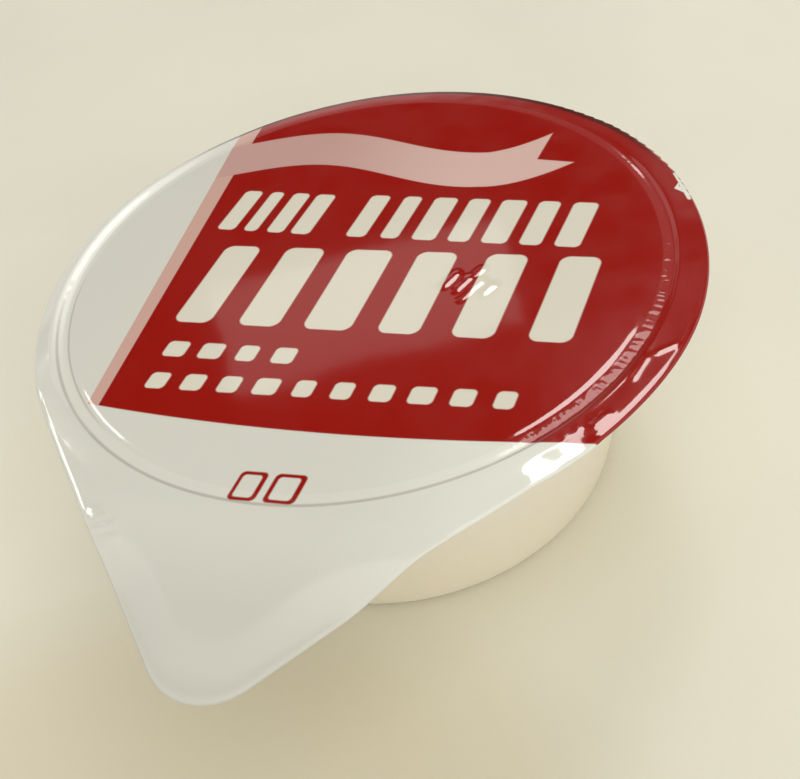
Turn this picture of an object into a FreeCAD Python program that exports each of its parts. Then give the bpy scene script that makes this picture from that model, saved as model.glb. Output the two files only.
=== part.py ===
"""Single-serving butter cup: a closed round plastic cup under a heat-sealed film lid with a pull tab.

Millimetres, +Z up. The origin is the middle of the base that the cup stands on, and the pull tab
points along -Y. The driving dimensions are cells of the spreadsheet.
"""

import FreeCAD, Part
import math
import os

import Sketcher

SIZES = [
    # the cup
    ("cup_height", 15.0, "base to the top of the flange"),
    ("mouth_radius", 17.0, "wall carried up to the underside of the flange"),
    ("wall_lean", 11.0, "angle between the wall and the upright"),
    ("foot_round", 0.8, "rounding between the wall and the base"),
    ("neck_round", 0.6, "rounding between the wall and the flange"),
    ("flange_width", 2.4, "mouth to the outer edge of the flange"),
    ("flange_thickness", 0.6, "thickness of the flange"),
    ("rim_round", 0.2, "rounding of the flange's outer edge"),
    # the lid's film, seen from above
    ("lid_overhang", 0.6, "lid's round edge beyond the flange, before the lid slips"),
    ("film_thickness", 0.15, "film of the lid"),
    ("slip_across", 0.25, "lid's centre to the right of the cup's axis"),
    ("slip_along", 0.5, "lid's centre towards the tab from the cup's axis"),
    ("tab_spread", 95.0, "angle between the two radii where the tab's edges leave the round"),
    ("tab_round", 3.4, "rounding of the tab's corner"),
    ("blank_spare", 2.0, "how far the untrimmed film reaches past the lid's outline"),
    # the tab's droop, seen from the side
    ("bend_clearance", 0.3, "flange edge to the start of the first bend"),
    ("bend_radius", 3.9, "radius of both bends, at the film's upper face"),
    ("droop_angle", 23.0, "slope of the tab between the two bends"),
    ("droop_length", 1.5, "straight stretch between the two bends"),
    ("tip_angle", 6.0, "slope of the tab's end"),
    # the raised seal bead round the lid
    ("bead_inset", 1.3, "flange edge to the middle of the bead"),
    ("bead_width", 0.8, "width of the bead"),
    ("bead_rise", 0.2, "height of the bead above the film"),
]

NEAR = 1e-3  # two places closer than this are the same place

# places that more than one piece is drawn from, as formulas on the sheet
FLANGE = "(sizes.mouth_radius + sizes.flange_width)"
UNDER = "(sizes.cup_height - sizes.flange_thickness)"
LID = f"({FLANGE} + sizes.lid_overhang)"
FACE = "(sizes.cup_height + sizes.film_thickness)"
HALF_SPREAD = "(sizes.tab_spread * 1 deg / 2)"


def make_sheet(doc):
    """Put every driving dimension into the spreadsheet under its own alias."""
    sheet = doc.addObject("Spreadsheet::Sheet", "sizes")
    for row, (alias, value, meaning) in enumerate(SIZES, start=1):
        sheet.set(f"A{row}", alias)
        sheet.set(f"B{row}", str(value))
        sheet.set(f"C{row}", meaning)
        sheet.setAlias(f"B{row}", alias)
    doc.recompute()
    return sheet


def flange_radius(sheet):
    return sheet.mouth_radius + sheet.flange_width


def lid_radius(sheet):
    return flange_radius(sheet) + sheet.lid_overhang


def film_face(sheet):
    """Height of the flat film's upper face."""
    return sheet.cup_height + sheet.film_thickness


def lid_corner(sheet):
    """Distance from the lid's centre to the tab's corner before it is rounded."""
    return lid_radius(sheet) / math.cos(math.radians(sheet.tab_spread / 2))


def make_body(doc, label):
    """An empty body, placed at the part's origin, whose label names its file."""
    body = doc.addObject("PartDesign::Body", label + "_body")
    body.Label = label
    body.Placement = FreeCAD.Placement()
    return body


def new_sketch(body, name, role):
    """A sketch on one of the body's own origin planes."""
    sketch = body.newObject("Sketcher::SketchObject", name)
    plane = next(f for f in body.Origin.OriginFeatures if f.Role == role)
    sketch.AttachmentSupport = [(plane, "")]
    sketch.MapMode = "FlatFace"
    return sketch


def add_line(sketch, start, end):
    line = Part.LineSegment(FreeCAD.Vector(*start, 0), FreeCAD.Vector(*end, 0))
    return sketch.addGeometry(line, False)


def add_arc(sketch, centre, radius, first, last):
    """An arc that runs anticlockwise between two angles in degrees."""
    circle = Part.Circle(FreeCAD.Vector(*centre, 0), FreeCAD.Vector(0, 0, 1), radius)
    arc = Part.ArcOfCircle(circle, math.radians(first), math.radians(last))
    return sketch.addGeometry(arc, False)


def add_loop(sketch, corners):
    """Straight edges from corner to corner and back to the first; gives their numbers."""
    numbers = [add_line(sketch, *ends) for ends in zip(corners, corners[1:] + corners[:1])]
    for first, second in zip(numbers, numbers[1:] + numbers[:1]):
        sketch.addConstraint(Sketcher.Constraint("Coincident", first, 2, second, 1))
    return numbers


def hold(sketch, kind, *edges):
    """Add the same plain constraint to each edge."""
    for edge in edges:
        sketch.addConstraint(Sketcher.Constraint(kind, edge))


def blend(sketch, *ends):
    """Join two edges smoothly; ends are edge, end, edge, end."""
    sketch.addConstraint(Sketcher.Constraint("Tangent", *ends))


def tie(sketch, name, formula, *constraint):
    """Add a named dimension and bind it to the sheet."""
    index = sketch.addConstraint(Sketcher.Constraint(*constraint))
    sketch.renameConstraint(index, name)
    sketch.setExpression(f"Constraints.{name}", formula)


def round_edges(body, base, name, size, wanted):
    """Fillet the base's circular edges that wanted(radius, height) picks, as large as the sheet says."""
    names = []
    for number, edge in enumerate(base.Shape.Edges, start=1):
        if isinstance(edge.Curve, Part.Circle) and wanted(edge.Curve.Radius, edge.Curve.Center.z):
            names.append(f"Edge{number}")
    fillet = body.newObject("PartDesign::Fillet", name)
    fillet.Base = (base, names)
    fillet.setExpression("Radius", "sizes." + size)
    body.Document.recompute()
    return fillet


def turn(body, sketch, name):
    """Turn a half profile in the XZ plane once round the Z axis."""
    turned = body.newObject("PartDesign::Revolution", name)
    turned.Profile = sketch
    turned.ReferenceAxis = (sketch, ["V_Axis"])
    turned.Angle = 360
    body.Document.recompute()
    return turned


def make_cup(doc, sheet):
    """The closed cup: base, leaning wall and flange, turned from one profile, then rounded."""
    body = make_body(doc, "cup")
    sketch = new_sketch(body, "cup_profile", "XZ_Plane")
    top = sheet.cup_height
    under = top - sheet.flange_thickness
    rim = flange_radius(sheet)
    foot = sheet.mouth_radius - under * math.tan(math.radians(sheet.wall_lean))
    corners = [
        (0, 0),
        (foot, 0),
        (sheet.mouth_radius, under),
        (rim, under),
        (rim, top),
        (0, top),
    ]
    floor, wall, shelf, lip, seat, axis = add_loop(sketch, corners)
    hold(sketch, "Horizontal", floor, shelf, seat)
    hold(sketch, "Vertical", lip, axis)
    sketch.addConstraint(Sketcher.Constraint("Coincident", floor, 1, -1, 1))
    foot_formula = f"sizes.mouth_radius - {UNDER} * tan(sizes.wall_lean * 1 deg)"
    tie(sketch, "foot", foot_formula, "DistanceX", -1, 1, wall, 1, foot)
    tie(sketch, "mouth", "sizes.mouth_radius", "DistanceX", -1, 1, wall, 2, sheet.mouth_radius)
    tie(sketch, "rim", FLANGE, "DistanceX", -1, 1, lip, 1, rim)
    tie(sketch, "lip", "sizes.flange_thickness", "DistanceY", lip, 1, lip, 2, top - under)
    tie(sketch, "height", "sizes.cup_height", "DistanceY", -1, 1, seat, 1, top)
    blank = turn(body, sketch, "cup_turned")

    def at_neck(radius, height):
        return abs(height - under) < NEAR and radius < rim - NEAR

    standing = round_edges(body, blank, "foot_fillet", "foot_round", lambda radius, height: height < NEAR)
    necked = round_edges(body, standing, "neck_fillet", "neck_round", at_neck)
    round_edges(body, necked, "rim_fillet", "rim_round", lambda radius, height: radius > rim - NEAR)
    return body


def bend_film(body, sheet):
    """The untrimmed film: a wide flat strip drawn along a side view that droops past the flange."""
    face = film_face(sheet)
    radius = sheet.bend_radius
    droop, tip = math.radians(sheet.droop_angle), math.radians(sheet.tip_angle)
    back = lid_radius(sheet) + sheet.blank_spare
    leave = -(flange_radius(sheet) + sheet.bend_clearance)
    # from the flat film down the first bend, along the slope, and round the second bend
    first_end = (leave - radius * math.sin(droop), face - radius * (1 - math.cos(droop)))
    slope_end = (
        first_end[0] - sheet.droop_length * math.cos(droop),
        first_end[1] - sheet.droop_length * math.sin(droop),
    )
    second_centre = (slope_end[0] - radius * math.sin(droop), slope_end[1] + radius * math.cos(droop))
    second_end = (second_centre[0] + radius * math.sin(tip), second_centre[1] - radius * math.cos(tip))
    reach = -(sheet.slip_along + lid_corner(sheet) + sheet.blank_spare)
    tip_end = (reach, second_end[1] + (reach - second_end[0]) * math.tan(tip))

    path = new_sketch(body, "film_side_view", "YZ_Plane")
    end = add_line(path, tip_end, second_end)
    second = add_arc(path, second_centre, radius, sheet.tip_angle - 90, sheet.droop_angle - 90)
    slope = add_line(path, slope_end, first_end)
    first = add_arc(path, (leave, face - radius), radius, 90, 90 + sheet.droop_angle)
    flat = add_line(path, (leave, face), (back, face))
    blend(path, end, 2, second, 1)
    blend(path, second, 2, slope, 1)
    blend(path, slope, 2, first, 2)
    blend(path, first, 1, flat, 1)
    half_width = LID + " + sizes.blank_spare"
    tie(path, "back", half_width, "DistanceX", -1, 1, flat, 2, back)
    tie(path, "face", FACE, "DistanceY", -1, 1, flat, 2, face)
    tie(path, "leave", FLANGE + " + sizes.bend_clearance", "DistanceX", flat, 1, -1, 1, -leave)
    tie(path, "bend_one", "sizes.bend_radius", "Radius", first, radius)
    tie(path, "bend_two", "sizes.bend_radius", "Radius", second, radius)
    tie(path, "droop", "sizes.droop_angle * 1 deg", "Angle", slope, droop)
    tie(path, "slope_run", "sizes.droop_length", "Distance", slope, sheet.droop_length)
    tie(path, "tip", "sizes.tip_angle * 1 deg", "Angle", end, tip)
    reach_formula = f"sizes.slip_along + {LID} / cos({HALF_SPREAD}) + sizes.blank_spare"
    tie(path, "reach", reach_formula, "DistanceX", end, 1, -1, 1, -reach)
    hold(path, "Horizontal", flat)

    strip = new_sketch(body, "film_section", "XZ_Plane")
    strip.setExpression("AttachmentOffset.Base.z", f"-({half_width})")
    seat = sheet.cup_height
    under, right, over, left = add_loop(strip, [(-back, seat), (back, seat), (back, face), (-back, face)])
    hold(strip, "Horizontal", under, over)
    hold(strip, "Vertical", left, right)
    tie(strip, "right", half_width, "DistanceX", -1, 1, right, 1, back)
    tie(strip, "left", half_width, "DistanceX", left, 1, -1, 1, back)
    tie(strip, "seat", "sizes.cup_height", "DistanceY", -1, 1, under, 1, seat)
    tie(strip, "thick", "sizes.film_thickness", "DistanceY", right, 1, right, 2, sheet.film_thickness)

    film = body.newObject("PartDesign::AdditivePipe", "film_bent")
    film.Profile = strip
    film.Spine = (path, ["Edge1", "Edge2", "Edge3", "Edge4", "Edge5"])
    body.Document.recompute()
    return film


def trim_film(body, sheet):
    """Cut away everything outside the round lid and its tab: two tangents and a rounded corner."""
    centre = (sheet.slip_across, -sheet.slip_along)
    radius, corner = lid_radius(sheet), sheet.tab_round
    half = sheet.tab_spread / 2

    def from_lid(distance, angle):
        """A point at a distance and an angle in degrees from the lid's centre."""
        turned = math.radians(angle)
        return (centre[0] + distance * math.cos(turned), centre[1] + distance * math.sin(turned))

    corner_centre = from_lid((radius - corner) / math.cos(math.radians(half)), -90)

    def from_corner(angle):
        turned = math.radians(angle)
        return (corner_centre[0] + corner * math.cos(turned), corner_centre[1] + corner * math.sin(turned))

    sketch = new_sketch(body, "lid_outline", "XY_Plane")
    round_edge = add_arc(sketch, centre, radius, half - 90, 270 - half)
    left = add_line(sketch, from_lid(radius, 270 - half), from_corner(270 - half))
    tab_corner = add_arc(sketch, corner_centre, corner, -90 - half, half - 90)
    right = add_line(sketch, from_corner(half - 90), from_lid(radius, half - 90))
    blend(sketch, round_edge, 2, left, 1)
    blend(sketch, left, 2, tab_corner, 1)
    blend(sketch, tab_corner, 2, right, 1)
    blend(sketch, right, 2, round_edge, 1)
    sketch.addConstraint(Sketcher.Constraint("Vertical", round_edge, 3, tab_corner, 3))
    tie(sketch, "across", "sizes.slip_across", "DistanceX", -1, 1, round_edge, 3, sheet.slip_across)
    tie(sketch, "along", "sizes.slip_along", "DistanceY", round_edge, 3, -1, 1, sheet.slip_along)
    tie(sketch, "lid", LID, "Radius", round_edge, radius)
    tie(sketch, "corner", "sizes.tab_round", "Radius", tab_corner, corner)
    tie(sketch, "spread", HALF_SPREAD, "Angle", right, math.radians(half))

    # the frame round the outline that is cut away
    reach = 2 * lid_corner(sheet)
    outer = add_loop(sketch, [(-reach, -reach), (reach, -reach), (reach, reach), (-reach, reach)])
    low, far, high, near = outer
    hold(sketch, "Horizontal", low, high)
    hold(sketch, "Vertical", far, near)
    reach_formula = f"2 * {LID} / cos({HALF_SPREAD})"
    tie(sketch, "frame_left", reach_formula, "DistanceX", low, 1, -1, 1, reach)
    tie(sketch, "frame_right", reach_formula, "DistanceX", -1, 1, low, 2, reach)
    tie(sketch, "frame_low", reach_formula, "DistanceY", low, 1, -1, 1, reach)
    tie(sketch, "frame_high", reach_formula, "DistanceY", -1, 1, high, 1, reach)

    trim = body.newObject("PartDesign::Pocket", "film_trim")
    trim.Profile = sketch
    trim.Type = "ThroughAll"
    trim.Midplane = True
    body.Document.recompute()
    return trim


def raise_bead(body, sheet):
    """The seal bead: a low half-round ridge round the cup's axis, rooted in the film."""
    face = film_face(sheet)
    root = face - sheet.film_thickness / 2
    half, rise = sheet.bead_width / 2, sheet.bead_rise
    middle = flange_radius(sheet) - sheet.bead_inset
    inner, outer = middle - half, middle + half
    radius = (half**2 + rise**2) / (2 * rise)
    lean = math.degrees(math.asin(half / radius))

    sketch = new_sketch(body, "bead_profile", "XZ_Plane")
    floor = add_line(sketch, (inner, root), (outer, root))
    right = add_line(sketch, (outer, root), (outer, face))
    crown = add_arc(sketch, (middle, face + rise - radius), radius, 90 - lean, 90 + lean)
    left = add_line(sketch, (inner, face), (inner, root))
    for joint in ((floor, 2, right, 1), (right, 2, crown, 1), (crown, 2, left, 1), (left, 2, floor, 1)):
        sketch.addConstraint(Sketcher.Constraint("Coincident", *joint))
    hold(sketch, "Horizontal", floor)
    hold(sketch, "Vertical", left, right)
    sketch.addConstraint(Sketcher.Constraint("Equal", left, right))
    width, height = "sizes.bead_width", "sizes.bead_rise"
    tie(sketch, "inner", f"{FLANGE} - sizes.bead_inset - {width} / 2", "DistanceX", -1, 1, floor, 1, inner)
    tie(sketch, "width", width, "DistanceX", floor, 1, floor, 2, outer - inner)
    tie(sketch, "root", "sizes.cup_height + sizes.film_thickness / 2", "DistanceY", -1, 1, floor, 1, root)
    tie(sketch, "side", "sizes.film_thickness / 2", "DistanceY", right, 1, right, 2, face - root)
    tie(sketch, "crown", f"({width} ^ 2 / 4 + {height} ^ 2) / (2 * {height})", "Radius", crown, radius)
    return turn(body, sketch, "bead_turned")


def make_lid(doc, sheet):
    """The film lid: bent film trimmed to the lid's outline, with the seal bead on top."""
    body = make_body(doc, "lid")
    bend_film(body, sheet)
    trim_film(body, sheet)
    raise_bead(body, sheet)
    return body


def check(doc, bodies):
    """Stop unless every feature was computed and every body is one valid solid."""
    for item in doc.Objects:
        if "Invalid" in item.State or "Error" in item.State:
            raise RuntimeError(f"{item.Name} failed: {item.State}")
    for body in bodies:
        shape = body.Shape
        if shape.isNull() or not shape.isValid() or len(shape.Solids) != 1:
            raise RuntimeError(f"{body.Label} is not one valid solid")


def main():
    doc = FreeCAD.newDocument("butter_cup")
    sheet = make_sheet(doc)
    bodies = [make_cup(doc, sheet), make_lid(doc, sheet)]
    doc.recompute()
    check(doc, bodies)
    os.makedirs("parts", exist_ok=True)
    for body in bodies:
        body.Shape.exportStep(f"parts/{body.Label}.step")
        box = body.Shape.optimalBoundingBox()
        size = " x ".join(f"{side:.2f}" for side in (box.XLength, box.YLength, box.ZLength))
        print(f"{body.Label}: {body.Shape.Volume:.1f} mm3, {size} mm, z {box.ZMin:.2f} to {box.ZMax:.2f}")


main()
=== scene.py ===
"""A small butter portion cup: a milky moulded cup under a printed peel-off lid with a pull tab."""

import bisect
import math
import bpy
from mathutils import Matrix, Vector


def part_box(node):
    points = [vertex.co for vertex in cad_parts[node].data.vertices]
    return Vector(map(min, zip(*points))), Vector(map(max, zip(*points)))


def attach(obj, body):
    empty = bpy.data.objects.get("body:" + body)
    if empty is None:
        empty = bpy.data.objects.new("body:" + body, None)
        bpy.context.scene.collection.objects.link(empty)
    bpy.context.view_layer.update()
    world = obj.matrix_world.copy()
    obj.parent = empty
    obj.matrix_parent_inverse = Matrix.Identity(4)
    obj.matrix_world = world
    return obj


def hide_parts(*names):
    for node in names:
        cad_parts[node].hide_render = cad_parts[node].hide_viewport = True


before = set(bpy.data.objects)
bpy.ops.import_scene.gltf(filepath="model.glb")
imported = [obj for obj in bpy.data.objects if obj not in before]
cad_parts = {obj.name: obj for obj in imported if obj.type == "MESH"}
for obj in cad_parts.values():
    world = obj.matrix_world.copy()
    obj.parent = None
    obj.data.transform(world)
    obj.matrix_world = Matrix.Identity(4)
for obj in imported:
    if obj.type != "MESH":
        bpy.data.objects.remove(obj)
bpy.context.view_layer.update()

from types import SimpleNamespace

import bmesh
import bpy
from mathutils import Matrix, Vector, noise

bl_info = {
    "name": "Butter Portion Cup",
    "version": (1, 0, 0),
    "blender": (4, 5, 0),
    "location": "3D View > Sidebar > Butter Cup",
    "description": "Builds a butter portion cup with its printed lid, and the table it stands on",
    "category": "Add Mesh",
}

MM = 0.001
CUP_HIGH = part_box("cup")[1]
LID_LOW, LID_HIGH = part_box("lid")

# Sizes taken from the frame, in millimetres like all others here but the lights'.
FLANGE_RADIUS = CUP_HIGH.x / MM
RIM_HEIGHT = CUP_HIGH.z / MM
TAB_REACH = -LID_LOW.y / MM
LID_RADIUS = (LID_HIGH.x - LID_LOW.x) / 2 / MM
LID_SHIFT = Vector(((LID_HIGH.x + LID_LOW.x) / 2 / MM, LID_HIGH.y / MM - LID_RADIUS))


def length(name, default, description):
    """A length for a settings sheet, given in millimetres and kept in metres."""
    return bpy.props.FloatProperty(
        name=name, description=description, default=default * MM, precision=5, unit="LENGTH"
    )


def angle(name, default, description):
    """An angle for a settings sheet, given in degrees and kept in radians."""
    return bpy.props.FloatProperty(
        name=name, description=description, default=math.radians(default), subtype="ANGLE"
    )


def share(name, default, description):
    """A plain factor for a settings sheet."""
    return bpy.props.FloatProperty(name=name, description=description, default=default, precision=3)


def tint(name, default, description):
    """A colour for a settings sheet, in linear values."""
    return bpy.props.FloatVectorProperty(
        name=name, description=description, default=default, subtype="COLOR", size=3, min=0, max=1
    )


def read_sheet(sheet):
    """The values of a settings sheet, its lengths in millimetres."""
    values = SimpleNamespace()
    for name in sheet.__annotations__:
        unit = sheet.bl_rna.properties[name].unit
        value = getattr(sheet, name)
        setattr(values, name, value / MM if unit == "LENGTH" else value)
    return values


# The groove in the cup's flange: the radii that its outer and inner sides span, and its depth.
GROOVE_OUTER, GROOVE_INNER = (18.7, 18.4), (17.7, 17.45)
GROOVE_DEPTH = 0.1

# From the middle of the foot's rounding to the recess under the base.
FOOT_RING_WIDTH = 0.9
CUP_STEPS = 192

# Inside this radius the film's rings stay round, and outside it they spread out to the cut edge.
ROUND_RADIUS = 18.7
LID_STEPS = 240

# Where the rings have more points, and how near two radii count as one.
FINE_FROM, FINEST = 16.4, (17.8, 18.46)
SAME_RING = 0.01

# How high the film's top lies over the flange, how far out it turns into the tab, and how the tab hangs.
FILM_LIFT = 0.15
TAB_FROM = (20.5, 22.0)
HANG_START = FLANGE_RADIUS + 0.3
HANG_LENGTH, HANG_STEP = 12, 0.05

# The film's seal lies a little off the cup's axis.
SEAL_SHIFT = Vector((-0.1, 0.05))

# The film's height over its plane across the seal: a shallow flat groove, and a dip along its outer side.
SEAL_GROOVE = (
    # radius, height
    (17.44, 0.0),
    (17.62, -0.024),
    (18.42, -0.024),
    (18.74, 0.0),
)
SEAL_DIP = (
    (17.84, 0.0),
    (18.12, -0.01),
    (18.34, -0.035),
    (18.42, -0.04),
    (18.74, 0.015),
    (18.95, 0.012),
)

# How much of the dip there is at the lid's left, and how that changes round the rim. Below 0 it is a ridge.
DIP_AT_LEFT = 0.4
DIP_CHANGES = (
    # from angle, to angle, change
    (-128, -118, -1.0),
    (-60, -48, 1.6),
    (33, 38, -0.4),
    (132, 150, -0.2),
)

# Stretches round the rim, in degrees from the right: where each starts, is full, starts to fade and ends.
RIGHT_GROOVE = (-49, -44, -18, -12)
LEFT_GROOVE = (-141, -135, -117, -111)
BACK = (42, 56, 132, 150)
RIBBED = (-52, -44, 6, 16)
SHOULDER = (-50, -45, -40, -37)
BURRED = (-42, -37, -12, -2)
ROLLED = (-143, -138, -114, -110)
TOOTHED = (24, 30, 58, 66)

# How much of the groove and of its ribs there is outside their stretches.
FAINT = 0.1

# The lifted lip at the lid's left: how far from the leftmost point it is full and where it has faded out,
# in degrees, how high it rises, and between which radii.
LIP_FULL, LIP_END = 10, 38
LIP_RISE, LIP_RADII = 0.23, (18.08, 18.98)

# Bands across the seal, as radii in the same order as the stretches.
RIBS = (17.8, 17.95, 18.25, 18.38)
PUCKERS = (18.1, 18.4, 18.7, 19.0)
PUCKER_HEIGHT = 0.022

# The film's slope over the flange, the radii where it starts, and where it is less.
FLANGE_SLOPE, LEFT_SLOPE = 0.06, 0.2
FALL_START, FALL_START_AT_BACK, FALL_END = 18.95, 17.9, 20.0
LEVEL_PLACES = (
    # slope taken off, angle, width
    (0.05, 40, 12),
    (0.1, -27, 17),
)

# Extra slope at the tab's right shoulder, and along the burred and the rolled cut edge.
SHOULDER_SLOPE, SHOULDER_START, SHOULDER_WAVE = 0.14, 19.4, 0.12
EDGE_SLOPE, BURR_WIDTH, ROLL_WIDTH = 0.15, 0.34, 0.26

# The cut edge's rounding, and how far it drops on the flange and on the tab.
EDGE_ROUND, EDGE_DROP, EDGE_DROP_ON_TAB = 0.1, 0.08, 0.05

# Where the cut edge stands out or in.
EDGE_BULGES = (
    # size, angle, width
    (0.14, 46, 30),
    (0.1, 90, 30),
    (-0.08, -30, 14),
)
TOOTH_PITCH = 2.45
TOOTH_SIZE = 0.1

# Creases raised or sunk in the film.
FOLDS = (
    # from x, y, to x, y, height, width
    (5.7, -1.7, 6.2, -0.6, 0.075, 0.24),
    (6.5, -2.0, 7.0, -1.0, 0.075, 0.24),
    (7.3, -2.0, 7.8, -1.2, 0.075, 0.24),
    (8.1, -2.2, 8.5, -1.5, 0.07, 0.24),
    (7.3, -0.6, 7.6, -0.1, 0.06, 0.22),
    (6.9, -2.8, 7.2, -2.4, 0.05, 0.2),
    (6.6, -0.9, 8.2, -1.5, 0.03, 0.2),
    (-8.25, -19.95, -7.8, -19.75, 0.06, 0.2),
    (-8.05, -20.5, -7.45, -20.15, 0.115, 0.22),
    (-7.8, -21.05, -6.8, -20.65, 0.14, 0.23),
    (-7.6, -21.55, -6.5, -21.3, 0.17, 0.25),
    (5.8, -22.6, 6.5, -22.9, 0.05, 0.18),
    (17.2, -8.2, 17.7, -6.6, 0.025, 0.17),
    (18.2, -6.2, 19.1, -5.5, 0.035, 0.14),
    (15.76, -11.57, 16.26, -10.85, 0.05, 0.25),
    (14.3, -12.45, 14.5, -12.6, 0.025, 0.12),
    (14.85, -11.8, 15.0, -11.95, 0.025, 0.12),
    (15.45, -11.0, 15.6, -11.1, 0.025, 0.12),
)

# The middle and radius of the crumpled spot, where the mesh is finer.
CRUMPLE = (7.2, -1.3, 2.2)

# Slivers where the print is knocked off the edge, leaving the film unprinted.
CHIPS = (
    # from x, y, to x, y, width
    (17.74, 8.09, 18.64, 7.53, 0.1),
    (17.74, 8.09, 17.99, 8.97, 0.09),
    (17.95, 8.11, 18.32, 8.27, 0.22),
    (18.6, 7.1, 18.05, 8.4, 0.14),
    (18.0, 8.5, 17.5, 9.6, 0.1),
)

# Tones of the film and its print, and of the light and shade painted on them, each with its colour of the
# same name among the settings.
PRINT_TONES = ("White", "Red", "Ribbon", "Sheen", "Stripe", "Blocks", "Bare", "Tip", "Worn")

# Straight edges of the print: how much each shifts per millimetre along it, and where it crosses the axis.
FIELD_SIDE = (-0.02, -11.75)
STRIPE_SIDE = (-0.042, -12.75)
NOTCH_TOP = (-0.125, 12.1)
NOTCH_SIDE = (0.167, 6.963)

# The field's bowed foot: how much it rises to its sides, its lowest height, and the middle of the bow.
FOOT_BOW, FOOT_HEIGHT, FOOT_MIDDLE = 0.004, -13.6, 1.0

# The ribbon: a wave that lifts and widens towards its notched end.
WAVE_HEIGHT, WAVE_MIDDLE, HALF_WAVE, WAVE_SHIFT = 1.17, 10.98, 10.9, 6.1
RIBBON_LIFT, LIFT_FROM = 0.052, 5.0
RIBBON_HALF, RIBBON_FLARE, FLARE_FROM = 1.9, 0.13, 5.5
RIBBON_END = 11.3

ROW_SIZES = ("Left", "Base", "Rise", "Count", "Pitch", "Width", "Height", "Lean", "Round", "Seed")
BLOCK_ROWS = (
    # left, base, rise, count, pitch, width, height, lean, round, seed
    (-11.0, 3.0, -0.05, 4, 1.75, 1.35, 4.2, 0.14, 0.35, 3),
    (-2.2, 2.6, -0.03, 7, 2.2, 1.6, 4.3, 0.14, 0.35, 11),
    (-10.9, -5.9, 0.0, 6, 4.25, 3.1, 7.2, 0.10, 0.6, 23),
    (-9.9, -8.8, 0.0, 4, 2.25, 1.6, 1.25, 0.1, 0.3, 31),
    (-9.9, -11.4, 0.02, 10, 2.2, 1.5, 1.25, 0.1, 0.3, 47),
)

# The small mark at the tab's root: two outlined blocks.
MARK_ROW = (-1.7, -18.45, 0.03, 2, 2.0, 1.75, 1.9, 0.12, 0.3, 5)
MARK_HOLES = (-1.7, -18.23, 0.03, 2, 2.0, 1.2, 1.46, 0.12, 0.2, 5)

# Blocks are up to this share narrower than their row's width.
UNEVEN = 0.3

# Bands at the seal, as radii: the film's scuffed finish and a painted highlight along its left; and fine
# lines of painted shade along the groove, each with its core and its end.
SCUFF_INNER = (17.75, 17.9)
LEFT_HIGHLIGHT_BAND = (18.05, 18.35, 18.75, 19.0)
OUTER_LINE = (18.56, 0.03, 0.13)
INNER_LINE = (17.86, 0.02, 0.09)

# Where the finish and the painted light and shade change across the lid or along it: from, to, and the
# amounts there if not 0 and 1.
SHINE_ACROSS = (3.0, 13.0)
SHEEN_ACROSS = (-7.0, 5.0)
TIP_SHADE_ALONG = (-26.0, -19.5, 0.22, 0.0)
RIM_SHADOW_ALONG = (9.0, 15.0, 0.0, 0.75)
RIM_SHADOW_RADII = (LID_RADIUS - 0.4, LID_RADIUS - 0.25)
SCUFF_OUTER_ACROSS = (-16.0, -11.0, 19.1, 18.4)
LEFT_HIGHLIGHT_ACROSS = (-17.6, -12.5, 0.9, 0.0)
LEFT_HIGHLIGHT_ALONG = (-11.0, -4.0, 0.25, 1.0)
OUTER_LINE_ALONG = (-9.0, -2.0, 0.35, 0.0)
INNER_LINE_ACROSS = (-13.0, -9.0, 0.35, 0.0)
INNER_LINE_ALONG = (-6.0, 0.0, 1.0, 0.0)

# Shares of red, green and blue that are left in a darker place. The first makes the cup warmer low down,
# partly the butter and partly painted warm bounce light from the table; the second is the painted shadow on
# the table in front of the tab.
BUTTER_AND_BOUNCE_TINT = (0.97, 0.93, 0.82)
PAINTED_SHADOW_TINT = (0.88, 0.84, 0.77)
CLOUD_TINT = (0.96, 0.96, 0.96)
UNDERSIDE_TINT = (0.93, 0.93, 0.93)

# The painted soft shadow on the table in front of the tab: its half sizes, its middle and how it fades
# outwards.
PAINTED_SHADOW_HALF, PAINTED_SHADOW_MIDDLE = (27, 15), (-3, -28)
PAINTED_SHADOW_FADE = (0.15, 1.1, 1.0, 0.0)
TABLE_SIZE = 4000.0

# Lights, with their angles in degrees and their sizes in metres.
BROAD_LIGHTS = (
    # name, turn, climb, distance, width, height, share of the ceiling light
    ("back light", 108, 48, 0.8, 0.7, 0.7, 1.3),
    ("front light", -48, 52, 0.8, 0.9, 0.9, 1.0),
)
WINDOWS = (
    # name, turn, climb, distance, width, height, share of the window light
    ("window", 88, 55, 0.7, 0.175, 0.235, 1.0),
    ("side window", 152, 39, 0.7, 0.124, 0.11, 0.8),
    ("low window", 89.8, 28.2, 0.7, 0.07, 0.035, 1.5),
)
PANEL = ("panel", 115.8, 39.4, 0.745, 0.22, 0.08)

LAMP_COLOR = (1.0, 0.975, 0.93)

# The room: the turn and climb of its bright side and of its dim part, in degrees, and where they fade.
BRIGHT_SIDE, BRIGHT_FADE = (-12, 15), (-0.6, 0.8)
DIM_PART, DIM_FULL, DIM_END = (114, 36), 36, 50
DIM_ABOVE = (0.37, 0.44, 1.0, 0.0)
ROOM_COLOR = (1.0, 0.985, 0.95)

CAMERA_PLACE = Vector((22.97, -47.90, 55.07))
CAMERA_TARGET = Vector((5.36, -10.13, 15.15))
CAMERA_ROLL = -13.78
SENSOR_WIDTH = 36.0


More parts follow.
